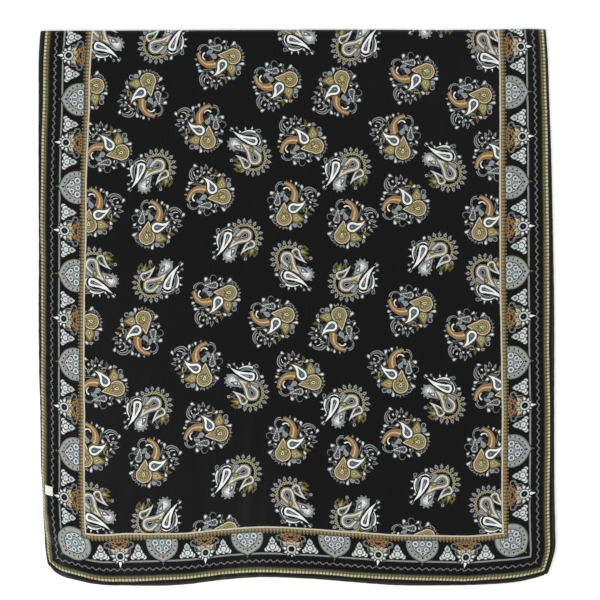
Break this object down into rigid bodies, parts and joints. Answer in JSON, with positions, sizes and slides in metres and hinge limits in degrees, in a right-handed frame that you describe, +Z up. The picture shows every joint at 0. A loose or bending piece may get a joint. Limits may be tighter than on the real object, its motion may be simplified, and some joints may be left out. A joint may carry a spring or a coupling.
{
  "type": "oblong scarf, folded once and laid flat",
  "caption": "Oblong printed satin scarf with a paisley field and ornate border, rolled hems and a small blank label, folded once across and lying flat.",
  "frame": {"origin": "middle of the flat underside, on the surface that the folded scarf lies on", "axes": "+Z up, out of the printed half that shows; +Y towards the fold; +X towards the right side hem"},
  "size_m": [0.7114, 0.7652, 0.0105],
  "materials": {
    "printed_satin": "black satin printed with gold, grey and white paisleys inside an ornate border; soft sheen",
    "rolled_hem": "black satin rolled under and stitched",
    "label_tape": "white woven tape, blank"
  },
  "bodies": {
    "root": {"front_half": "printed_satin", "back_half": "printed_satin", "front_left_hem": "rolled_hem", "front_right_hem": "rolled_hem", "front_end_hem": "rolled_hem", "back_left_hem": "rolled_hem", "back_right_hem": "rolled_hem", "back_end_hem": "rolled_hem", "side_label": "label_tape"}
  },
  "joints": []
}
